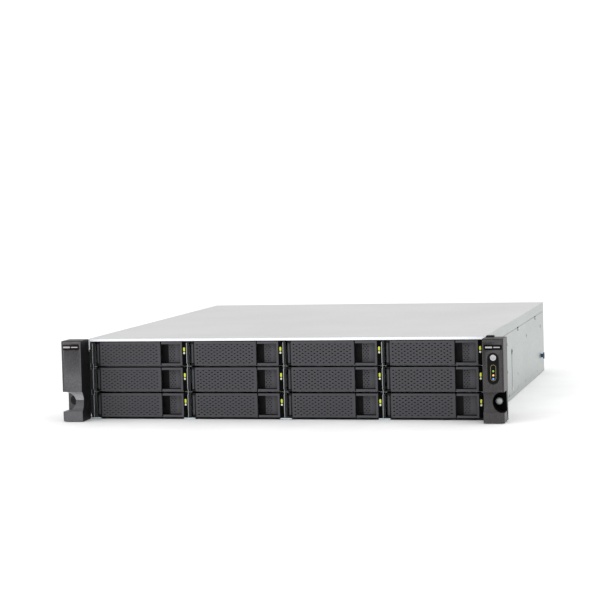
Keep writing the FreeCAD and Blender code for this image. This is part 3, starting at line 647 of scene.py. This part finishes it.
def drive_mesh():
    """Lid, spindle boss, screws and blank label on top of a drive."""
    shape = Shape()
    top = 26.3
    outline = rounded((6.5, 103.9), (19.5, 161.5), 6.0)
    shape.plate(outline, [], (top - 0.02, top + 0.28), DRIVE_STEEL, 0.1, FLAT)
    boss = [(22.0, 0.0), (21.5, 0.3), (20.0, 0.5), (0.0, 0.5)]
    shape.lathe(boss, (55.2, 75.0, top + 0.1), DRIVE_STEEL, axis=(0, 0, 1), steps=40)
    shape.box((30.0, 82.0), (104.0, 146.0), (top + 0.2, top + 0.42), BLANK_LABEL, 0.05)
    screw = [(2.4, 0.0), (2.4, 0.4), (2.0, 0.55), (0.0, 0.55)]
    for x in (9.5, 55.2, 100.9):
        for y in (23.0, 157.0):
            shape.lathe(screw, (x, y, top + 0.2), NICKEL, axis=(0, 0, 1), steps=16)
    return shape.mesh("drive_lid")


def tray_solid(low, high):
    """Material of one solid of a tray node."""
    size = high - low
    if size.y > 140:
        return DRIVE_STEEL if size.x > 100 else DARK_STEEL
    if size.z < 1:
        return DARK_STEEL
    if size.x < 1.5:
        return NICKEL
    if size.x < 3:
        return LENS_GREEN if size.z > 4 else LENS_WHITE
    return TRAY_PLASTIC if size.x < 30 else BLACK_PLASTIC


def tray_face(middle, normal, low, high):
    """Grey front of the frame round the finger recess."""
    size = high - low
    across = middle.x - low.x + BEZEL_START
    framed = FRAME_X[0] - 0.1 <= across <= FRAME_X[1] + 0.02
    if size.x > 100 and size.y < 20 and framed and normal.y < -0.5 and middle.y < 0.5:
        return TRAY_PLASTIC
    return None


def trays():
    """Every tray with its lever, latch, lenses and drive lid."""
    lever = lever_mesh()
    latch = latch_mesh()
    lens = lens_mesh()
    lid = drive_mesh()
    for row in range(1, ROWS + 1):
        for column in range(1, COLUMNS + 1):
            bay = f"row{row}_column{column}"
            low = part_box(f"tray_lever_{bay}")[0]
            at = Matrix.Translation((low.x - HINGE_TO_COLUMN * MM, FACE_Y, low.z))
            tray = f"tray_{bay}"
            piece(f"lever_face_{bay}", lever, f"lever_{bay}", at,
                  [f"tray_lever_{bay}"])
            piece(f"latch_plate_{bay}", latch, f"latch_{bay}", at,
                  [f"tray_latch_{bay}"])
            piece(f"lenses_{bay}", lens, tray, at)
            piece(f"drive_lid_{bay}", lid, tray, at)
            dress(f"drive_tray_{bay}", BLACK_PLASTIC, 0.2, tray_solid, tray_face)


trays()


# Chassis

def base_face(middle, normal, low, high):
    """Shaded front edge of the floor, and shaded front lips of the sides."""
    if middle.y > 1.1 or normal.y > -0.9:
        return None
    return DEEP_BLACK if high.z < 2 else SHADED_LIP


def cover_face(middle, normal, low, high):
    """Zinc flanks, and a front hem painted bright as a painted highlight, on the covers."""
    if abs(normal.x) > 0.7 and abs(middle.x) > BODY_HALF - 1.5:
        return ZINC_STEEL
    if normal.y < -0.7 and middle.y < 0.5:
        return HEM_HIGHLIGHT
    return None


def cage_face(middle, normal, low, high):
    """Near-black folded lips (painted shade) and pale foot tabs (painted highlight) on the
    dividers.
    """
    if middle.y > 1.1:
        return None
    return FOOT_HIGHLIGHT if middle.z < 1.4 else SHADED_LIP


def stud_solid(low, high):
    """Blued rail studs among the plated screws."""
    return STUD_BLUE if low.y > 460 and high.z < 40 else NICKEL


def on_badge(middle):
    """Whether a face lies on the badge of an ear."""
    z = RIGHT_BADGE_Z if middle.x > 0 else LEFT_BADGE_Z
    return abs(abs(middle.x) - PANEL_X) < 9.5 and z[0] < middle.z < z[1]


def on_panel(middle):
    """Whether a face lies on the status panel of the right ear."""
    beyond = max(0.0, abs(middle.z - PANEL_Z) - 10.5)
    return math.hypot(middle.x - PANEL_X, beyond) < 5.74


def ear_face(middle, normal, low, high):
    """Badge, status panel, inner wall, top, scoop and screw notch of an ear; the right notch is
    painted shade and the upper left scoop a painted highlight.
    """
    out = 1 if middle.x > 0 else -1
    if normal.y < -0.7 and middle.y < EAR_FRONT + 0.4:
        if on_badge(middle):
            return BADGE_BROWN if out < 0 else GLOSS_BLACK
        if on_panel(middle):
            return GLOSS_BLACK
    if normal.x * out < -0.7 and abs(middle.x) < EAR_INNER_X + 1:
        return BLACK_PLASTIC
    if normal.z > 0.5 and middle.z > 84:
        return BLACK_PLASTIC
    # Painted shade: the faces inside the right ear's notch are painted near-black.
    from_notch = math.hypot(abs(middle.x) - NOTCH[0], middle.z - NOTCH[1])
    if out > 0 and middle.y > EAR_FRONT + 0.3 and from_notch < NOTCH_RADIUS + 0.2:
        return DEEP_BLACK
    # Painted highlight on the upper part of the left ear's scoop.
    scooped = normal.y < -0.5 and abs(normal.z) > 0.1 and middle.z < NOTCH[1] + NOTCH_RADIUS
    if out < 0 and scooped and middle.z > NOTCH[1]:
        return EAR_SCOOP_HIGHLIGHT
    return None


def divider_trim():
    """Bright folded edges beside the lips, joints between rows, and near-black strips of painted
    shade in the joints and in the gaps above and below the bays.
    """
    shape = Shape()
    for column in range(COLUMNS):
        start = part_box(f"tray_lever_row1_column{column + 1}")[0].x / MM - HINGE_TO_COLUMN
        for row in range(ROWS):
            foot = 2.0 + row * ROW_PITCH
            z = (foot + (2.2 if row else -0.6), foot + FACE_HEIGHT - 1.2)
            shape.box((start - 0.15, start + 0.55), (-0.25, 0.5), z, ZINC_STEEL, 0.2)
            if row:
                joint = foot - 1.0
                shape.box((start + 0.45, start + 1.0), (-0.3, 0.4), (joint - 2.9, joint + 3.0),
                          ZINC_STEEL, 0.2)
                # Painted shade: a near-black block in the notch of each row joint.
                shape.box((start + 1.0, start + 2.6), (-0.2, 0.3), (joint - 1.5, joint + 1.4),
                          DEEP_BLACK, 0.2)
                shape.box((start + 1.7, start + 2.4), (-0.4, 0.0), (joint + 0.2, joint + 0.8),
                          NICKEL, 0.15)
    # Painted shade: near-black strips in the gaps above and below the bays.
    shape.box((-216.0, 216.0), (1.2, 3.0), (84.4, 86.2), DEEP_BLACK, 0.2)
    shape.box((-217.5, 217.0), (0.4, 0.9), (0.1, 1.0), DEEP_BLACK, 0.1)
    return shape.mesh("divider_trim")


def side_trim():
    """Embossed slot with its keyhole and foot, hooks, studs and rivets on the right wall."""
    shape = Shape()
    wall = BODY_HALF
    turn = Matrix.Translation((wall, 0, 0)) @ Matrix.Rotation(math.radians(90), 4, "Z")
    channel = rounded((195.2, 198.8), (8.0, 52.5), 1.7)
    middle = rounded((196.2, 197.8), (13.0, 50.6), 0.7)
    shape.plate(channel, [middle], (-0.35, 0.05), ZINC_STEEL, 0.1, turn)
    shape.plate(middle, [], (-0.12, 0.05), BLANK_LABEL, 0.05, turn)
    foot = [(195.4, 9.0), (199.6, 9.0), (197.2, 13.6)]
    shape.plate(foot, [], (-0.6, 0.05), BLANK_LABEL, 0.15, turn)
    eye = ellipse(197.0, 53.0, 6.4, 6.4, 20)
    pupil = ellipse(197.0, 53.0, 4.6, 4.6, 20)
    shape.plate(eye, [pupil], (-0.5, 0.05), DARK_STEEL, 0.1, turn)
    hooks = (252.0, 416.0)
    stud = [(1.1, 0.0), (1.1, 0.5), (0.8, 0.7), (0.0, 0.7)]
    for y in hooks:
        shape.box((wall - 0.1, wall + 0.25), (y - 4.0, y + 4.0), (75.4, 76.9), DEEP_BLACK, 0.1)
        shape.lathe(stud, (wall, y, 73.6), DARK_STEEL, axis=(1, 0, 0), steps=14)
    shape.box((wall - 0.1, wall + 0.3), (2.0, 26.0), (75.3, 76.9), DEEP_BLACK, 0.1)
    rivets = ((158.0, 65.0), (158.0, 34.0), (330.0, 60.0), (470.0, 60.0))
    dimple = [(3.1, 0.0), (3.1, 0.12), (2.7, 0.22), (0.0, 0.22)]
    head = [(1.7, 0.0), (1.5, 0.5), (0.8, 0.8), (0.0, 0.85)]
    for y, z in rivets:
        shape.lathe(dimple, (wall, y, z), ZINC_STEEL, axis=(1, 0, 0), steps=20)
        shape.lathe(head, (wall + 0.4, y, z), NICKEL, axis=(1, 0, 0), steps=16)
    return shape.mesh("side_trim")


def stadium_path(x, z, width, height, y, steps=10):
    """Points round an upright slot with round ends."""
    radius = width / 2
    reach = height / 2 - radius
    path = []
    for i in range(2 * steps + 2):
        upper = i <= steps
        angle = math.pi * (i if upper else i - 1) / steps
        middle = z + reach if upper else z - reach
        path.append((x + radius * math.cos(angle), y, middle + radius * math.sin(angle)))
    return path


def badge_mark(shape, x, z, radius):
    """A thin blank bar on the front of an ear, in the place of a printed mark."""
    shape.plate(rounded(x, z, radius), [], (EAR_FRONT - 0.12, EAR_FRONT + 0.1), BADGE_MARK, 0.05)


def right_ear_trim():
    """Status lamps, outlines, badge marks, button collar, tab and washer of the right ear."""
    shape = Shape()
    front = EAR_FRONT
    shape.tube(stadium_path(PANEL_X, PANEL_Z, 11.6, 32.6, front + 0.05), 0.28, BLACK_PLASTIC)
    shape.tube(stadium_path(PANEL_X, 52.6, 5.4, 16.4, front + 0.3), 0.2, LIGHT_LINE)
    dome = [(1.05, 0.0), (1.0, 0.25), (0.7, 0.5), (0.0, 0.6)]
    lamps = ((54.3, LAMP_GREEN), (50.0, LAMP_AMBER), (46.3, LAMP_BLUE))
    for z, lamp in lamps:
        shape.lathe(dome, (PANEL_X, front + 0.2, z), lamp, steps=20)
    ring = [(3.45, 0.0), (3.45, 0.35), (3.75, 0.5), (4.1, 0.35), (4.1, 0.0)]
    shape.lathe(ring, (PANEL_X, front + 0.3, BUTTON_Z), GLOSS_BLACK, steps=36)
    badge_mark(shape, (222.4, 229.6), (78.2, 79.8), 0.7)
    badge_mark(shape, (231.0, 237.6), (78.5, 79.5), 0.45)
    shape.box((220.4, 229.0), (-8.0, -0.5), (86.5, 89.6), BLACK_PLASTIC, 1.2)
    # A black washer, painted deepest black on the right as painted shade in the notch.
    shape.plate(ellipse(SCREW_X, NOTCH[1], 9.6, 9.6, 28), [], WASHER_Y, DEEP_BLACK, 0.2)
    return shape.mesh("right_ear_trim")


def left_ear_trim():
    """Badge marks and the screw's washer of the left ear."""
    shape = Shape()
    badge_mark(shape, (-239.2, -231.4), (80.4, 82.0), 0.45)
    badge_mark(shape, (-230.0, -222.6), (80.7, 81.7), 0.45)
    shape.plate(ellipse(-SCREW_X, NOTCH[1], 9.6, 9.6, 28), [], WASHER_Y, BLACK_PLASTIC, 0.2)
    return shape.mesh("left_ear_trim")


def rear_vents():
    """Fields of hexagonal holes on the rear panel, over a near-black backing of painted shade."""
    shape = Shape()
    fields = (((-212.0, -158.0), (8.0, 72.0)), ((-150.0, 52.0), (36.0, 74.0)))
    for x, z in fields:
        # Painted shade: a near-black sheet seen through the holes.
        shape.box((x[0] + 1, x[1] - 1), (BODY_DEPTH, BODY_DEPTH + 0.1), (z[0] + 1, z[1] - 1),
                  DEEP_BLACK, 0.02)
        holes = hexagons((x[0] + 4.0, x[1] - 4.0), (z[0] + 4.0, z[1] - 4.0),
                         pitch=5.2, radius=2.3)
        shape.plate(rounded(x, z, 1.5), holes, (BODY_DEPTH + 0.1, BODY_DEPTH + 0.6), ZINC_STEEL,
                    0.05)
    return shape.mesh("rear_vents")


def hexagons(x, z, pitch, radius):
    """Outlines of six-sided holes, packed in rows over a rectangle."""
    rise = pitch * math.sqrt(3) / 2
    holes = []
    for row in range(int((z[1] - z[0]) / rise) + 1):
        start = x[0] + (pitch / 2 if row % 2 else 0.0)
        for i in range(int((x[1] - start) / pitch) + 1):
            middle = (start + i * pitch, z[0] + row * rise)
            holes.append([(middle[0] + radius * math.sin(k * math.pi / 3),
                           middle[1] + radius * math.cos(k * math.pi / 3)) for k in range(6)])
    return holes


def starts(row):
    """Where each of a row of like parts starts, from its (start, pitch, count)."""
    start, pitch, count = row
    return [start + pitch * i for i in range(count)]


def slot_covers():
    """Vented blanking plates with their screws, over the expansion slots."""
    shape = Shape()
    front, back = SLOT_COVER_Y
    screw = [(2.6, 0.0), (2.6, 0.5), (2.0, 1.1), (0.0, 1.2)]
    for x in starts(SLOTS):
        holes = []
        for k in range(8):
            z = 18.5 + 7.0 * k
            holes.append(rounded((x + 3.0, x + 11.0), (z, z + 3.0), 1.4))
        plate = rounded((x + 0.3, x + 13.7), (14.3, 77.7), 0.6)
        shape.plate(plate, holes, SLOT_COVER_Y, NICKEL, 0.05)
        # Painted shade: a near-black sheet behind the plate, seen through its vents.
        shape.box((x + 0.6, x + 13.4), (front - 0.15, front - 0.05), (14.6, 77.4), DEEP_BLACK,
                  0.02)
        shape.lathe(screw, (x + 7.0, back + 0.5, 80.4), NICKEL, axis=(0, 1, 0), steps=24)
    return shape.mesh("slot_covers")


def socket_contacts():
    """Gold contacts, lamps and tongues in the rear sockets."""
    shape = Shape()
    contact_z = (BOARD_TOP + 8.6, BOARD_TOP + 9.0)
    lamp_z = (BOARD_TOP + 11.4, BOARD_TOP + 12.8)
    for start in starts(NETWORK_SOCKETS):
        for k in range(8):
            left = start + 4.5 + 1.02 * k
            shape.box((left, left + 0.45), (493.0, 503.0), contact_z, GOLD, 0.05)
        for x, lamp in ((start + 3.9, LAMP_GREEN), (start + 12.9, LAMP_AMBER)):
            shape.box((x - 1.1, x + 1.1), (506.3, 506.7), lamp_z, lamp, 0.15)
    edge_z = (BOARD_TOP + 2.6, BOARD_TOP + 3.4)
    for start in starts(OPTICAL_SOCKETS):
        shape.box((start + 3.2, start + 13.0), (494.0, 499.0), edge_z, SOLDER_MASK, 0.1)
    for start in starts(USB_SOCKETS):
        for z in (BOARD_TOP + 5.0, BOARD_TOP + 13.3):
            shape.box((start + 2.9, start + 13.7), (493.0, 504.5), (z, z + 1.8), SOCKET_BLUE, 0.15)
    return shape.mesh("socket_contacts")


def port_face(middle, normal, low, high):
    """Dark interiors of the sockets."""
    inside = normal.y > 0.5 and middle.y < 503.0 and middle.x < 0
    return DEEP_BLACK if inside else None


def supply_face(middle, normal, low, high):
    """Dark inlet, fan mouth and latch pocket, and a black handle, on a power supply."""
    if middle.y > SUPPLY_BACK + 0.2:
        return BLACK_PLASTIC
    sunk = (middle.y > SUPPLY_BACK - SUPPLY_RECESS_DEPTH
            and SUPPLY_RECESS_X[0] < middle.x < SUPPLY_RECESS_X[1])
    flat = abs(normal.z) > 0.9 and (middle.z < low.z + 0.2 or middle.z > high.z - 0.2)
    face = normal.y > 0.9 and middle.y > SUPPLY_BACK - 0.1
    return BLACK_PLASTIC if sunk and not flat and not face else None


def supply_details(bottom):
    """Inlet surround with its pins, fan guard, and a status lamp, at the back of a supply."""
    shape = Shape()
    middle = (FAN_MOUTH[0], bottom + FAN_MOUTH[1])
    back = SUPPLY_BACK
    inlet = rounded((140.4, 170.0), (bottom + 7.4, bottom + 30.0), 2.0)
    mouth = rounded((143.2, 167.8), (bottom + 10.2, bottom + 27.3), 3.0)
    shape.plate(inlet, [mouth], (back + 0.05, back + 1.3), BLACK_PLASTIC, 0.1)
    pins = ((149.0, bottom + 21.5), (162.0, bottom + 21.5), (155.5, bottom + 15.5))
    for x, z in pins:
        shape.box((x - 0.9, x + 0.9), (back - 13.5, back - 1.5), (z - 2.2, z + 2.2), NICKEL, 0.2)
    for radius in (3.2, 6.4, 9.6, 12.8):
        ring = [(middle[0] + radius * math.cos(k * math.pi / 18), back + 0.5,
                 middle[1] + radius * math.sin(k * math.pi / 18)) for k in range(36)]
        shape.tube(ring, 0.5, NICKEL, steps=6)
    for k in range(4):
        angle = math.pi / 4 + k * math.pi / 2
        spoke = [(middle[0] + r * math.cos(angle), back + 0.3, middle[1] + r * math.sin(angle))
                 for r in (3.0, 9.0, 15.6)]
        shape.tube(spoke, 0.55, NICKEL, closed=False, steps=6)
    blades = 7
    for k in range(blades):
        angle = 2 * math.pi * k / blades
        ends = []
        for r, turn in ((4.6, 0.0), (9.0, 0.25), (13.4, 0.55)):
            ends.append((middle[0] + r * math.cos(angle + turn), back - 2.0,
                         middle[1] + r * math.sin(angle + turn)))
        shape.tube(ends, 0.9, DARK_STEEL, closed=False, steps=6)
    lamp = [(1.2, 0.0), (1.1, 0.3), (0.6, 0.5), (0.0, 0.55)]
    shape.lathe(lamp, (SUPPLY_LAMP[0], back + 0.4, bottom + SUPPLY_LAMP[1]), LAMP_GREEN,
                axis=(0, 1, 0), steps=16)
    return shape.mesh("supply_details")


def board_face(middle, normal, low, high):
    """Standoffs, sockets, modules and chips of the mainboard."""
    if middle.z < BOARD_TOP - 1.65:
        return BRASS
    if middle.z < BOARD_TOP + 0.05:
        return None
    if MEMORY_X[0] < middle.x < MEMORY_X[1]:
        return SOCKET_BLUE if middle.z < BOARD_TOP + 4.05 else None
    if middle.x > 80:
        return SOCKET_WHITE
    if middle.x < -130 and middle.y < 340:
        return NICKEL
    return ALUMINIUM if middle.x < -130 else NICKEL


def board_parts():
    """Chips on the memory modules and small parts on the mainboard."""
    shape = Shape()
    for i in range(4):
        x = 30.0 + 9.5 * i
        for k in range(8):
            y = 308.0 + 15.6 * k
            shape.box((x + 0.6, x + 1.7), (y, y + 11.0), (BOARD_TOP + 12.0, BOARD_TOP + 26.0),
                      CHIP_BLACK, 0.15)
    can = [(3.2, 0.0), (3.2, 6.6), (2.8, 7.2), (0.0, 7.2)]
    for i in range(7):
        for k in range(3):
            x = -195.0 + 11.0 * i
            y = 262.0 + 12.0 * k
            if (i + k) % 2:
                shape.lathe(can, (x, y, BOARD_TOP), NICKEL, axis=(0, 0, 1), steps=18)
            else:
                shape.box((x - 3, x + 3), (y - 3, y + 3), (BOARD_TOP, BOARD_TOP + 4), CHIP_BLACK,
                          0.2)
    for start in starts(NETWORK_SOCKETS):
        shape.box((start - 1, start + 11), (455.0, 472.0), (BOARD_TOP, BOARD_TOP + 5.0),
                  CHIP_BLACK, 0.25)
    for i in range(6):
        y = 300.0 + 15.0 * i
        shape.box((88.0, 100.0), (y, y + 8.0), (BOARD_TOP, BOARD_TOP + 3.0), CHIP_BLACK, 0.2)
    return shape.mesh("board_parts")


def screw_cap_mesh():
    """Slightly domed disc with a bevelled rim, in front of a rack screw."""
    shape = Shape()
    disc = [(3.1, 0.0), (3.1, 0.5), (2.8, 0.9), (1.9, 1.1), (0.0, 1.15)]
    shape.lathe(disc, (0, 0, 0), ZINC_STEEL, steps=32)
    return shape.mesh("screw_cap")


def button_cap_mesh():
    """Dished power button with a raised mark."""
    shape = Shape()
    dish = [(3.15, -0.6), (3.15, 0.15), (2.9, 0.4), (2.5, 0.35), (0.0, 0.1)]
    shape.lathe(dish, (PANEL_X, EAR_FRONT, BUTTON_Z), NICKEL, steps=36)
    radius = 1.25
    arc = []
    for i in range(15):
        angle = math.radians(130 + i * 20)
        arc.append((PANEL_X + radius * math.cos(angle), EAR_FRONT - 0.3,
                    BUTTON_Z + radius * math.sin(angle)))
    shape.tube(arc, 0.16, DARK_STEEL, closed=False)
    return shape.mesh("button_cap")


piece("divider_trim", divider_trim(), "chassis")
SIDE = side_trim()
piece("side_trim_right", SIDE, "chassis")
piece("side_trim_left", mirror_of(SIDE), "chassis")
piece("right_ear_trim", right_ear_trim(), "chassis")
piece("left_ear_trim", left_ear_trim(), "chassis")
piece("power_button_face", button_cap_mesh(), "power_button")
SCREW_PLACE = ORIGIN @ Matrix.Translation((SCREW_X * MM, SCREW_FRONT * MM, NOTCH[1] * MM))
piece("rack_screw_cap_right", screw_cap_mesh(), "rack_screw_right", SCREW_PLACE)

dress("chassis_base", ZINC_STEEL, 0.25, by_face=base_face, smooth=False)
dress("front_top_cover", COVER_STEEL, 0.25, by_face=cover_face, smooth=False)
dress("rear_top_cover", COVER_STEEL, 0.4, by_face=cover_face)
dress("drive_cage", ZINC_STEEL, 0.25, by_face=cage_face, smooth=False)
dress("rear_panel", ZINC_STEEL, 0.2)
piece("rear_vents", rear_vents(), "chassis")
piece("slot_covers", slot_covers(), "chassis")
piece("socket_contacts", socket_contacts(), "chassis")
for level, bottom in zip(("lower", "upper"), SUPPLY_BOTTOMS):
    piece(f"supply_details_{level}", supply_details(bottom), f"supply_{level}")
dress("rack_brackets", BLACK_PAINT, 0.3)
dress("chassis_screws", NICKEL, 0.3, stud_solid)
dress("backplane", SOLDER_MASK, 0.1)
dress("fan_wall", BLACK_PLASTIC, 0.3)
dress("mainboard", SOLDER_MASK, 0.15, by_face=board_face)
piece("board_parts", board_parts(), "chassis")
dress("processor_heatsink", ALUMINIUM, 0.15)
dress("rear_ports", NICKEL, 0.2, by_face=port_face)
dress("left_ear", EAR_PLASTIC, 0.35, by_face=ear_face)
dress("right_ear", EAR_SHADED, 0.35, by_face=ear_face)
dress("power_button", NICKEL, 0.3)
dress("rack_screw_left", BLACK_PAINT, 0.3)
dress("rack_screw_right", DARK_STEEL, 0.3)
for fan in (1, 2, 3):
    dress(f"fan_rotor_{fan}", BLACK_PLASTIC, 0.2)
for level in ("lower", "upper"):
    dress(f"power_supply_{level}", ZINC_STEEL, 0.3, by_face=supply_face)
    dress(f"power_supply_latch_{level}", GREEN_LATCH, 0.3)


# Stage: floor, light and camera

def floor():
    """A plain pale floor."""
    mesh = bpy.data.meshes.new("floor")
    half = 9.0
    mesh.from_pydata([(-half, -half, 0), (half, -half, 0), (half, half, 0), (-half, half, 0)],
                     [], [(0, 1, 2, 3)])
    paint = surface("floor_paint", (0.94, 0.94, 0.94, 1), 0.8, grain=30.0, fleck=0.004, bump=0.0)
    mesh.materials.append(paint)
    made = bpy.data.objects.new("floor", mesh)
    made.location.z = -0.0004
    bpy.context.scene.collection.objects.link(made)


def soft_light(name, place, target, size, power):
    """A square softbox aimed at a point."""
    lamp = bpy.data.lights.new(name, "AREA")
    lamp.shape = "RECTANGLE"
    lamp.size, lamp.size_y = size
    lamp.energy = power
    made = bpy.data.objects.new(name, lamp)
    made.location = place
    aim = Vector(target) - Vector(place)
    made.rotation_euler = aim.to_track_quat("-Z", "Y").to_euler()
    bpy.context.scene.collection.objects.link(made)


def studio():
    """Pale surroundings and three softboxes, the strongest at the front left."""
    world = bpy.data.worlds.new("studio")
    world.use_nodes = True
    background = world.node_tree.nodes["Background"]
    background.inputs["Color"].default_value = (1.0, 1.0, 1.0, 1.0)
    background.inputs["Strength"].default_value = 1.12
    bpy.context.scene.world = world
    bpy.context.scene.view_settings.view_transform = "Standard"
    soft_light("key", (-1.6, -2.0, 1.5), (-0.1, 0.0, 0.05), (1.4, 1.4), 9.0)
    soft_light("top", (0.3, 0.6, 2.0), (0.0, 0.1, 0.05), (1.8, 1.8), 4.0)
    soft_light("right", (2.4, -0.6, 0.9), (0.1, 0.0, 0.05), (1.2, 1.2), 3.0)


def camera():
    """Standing to the right of the front, a little above it, looking left."""
    data = bpy.data.cameras.new("camera")
    data.lens = 118.58
    data.clip_start = 0.02
    made = bpy.data.objects.new("camera", data)
    yaw, pitch, roll = -0.2408, 0.0651, -0.0267
    ahead = Vector((math.sin(yaw) * math.cos(pitch), math.cos(yaw) * math.cos(pitch),
                    -math.sin(pitch)))
    right = Vector((math.cos(yaw), -math.sin(yaw), 0))
    up = right.cross(ahead)
    level = right * math.cos(roll) + up * math.sin(roll)
    top = up * math.cos(roll) - right * math.sin(roll)
    turned = Matrix((level, top, -ahead)).transposed()
    place = Vector((0.5226, FACE_Y - 2.0451, 0.2655))
    made.matrix_world = Matrix.Translation(place) @ turned.to_4x4()
    bpy.context.scene.collection.objects.link(made)
    bpy.context.scene.camera = made


floor()
studio()
camera()
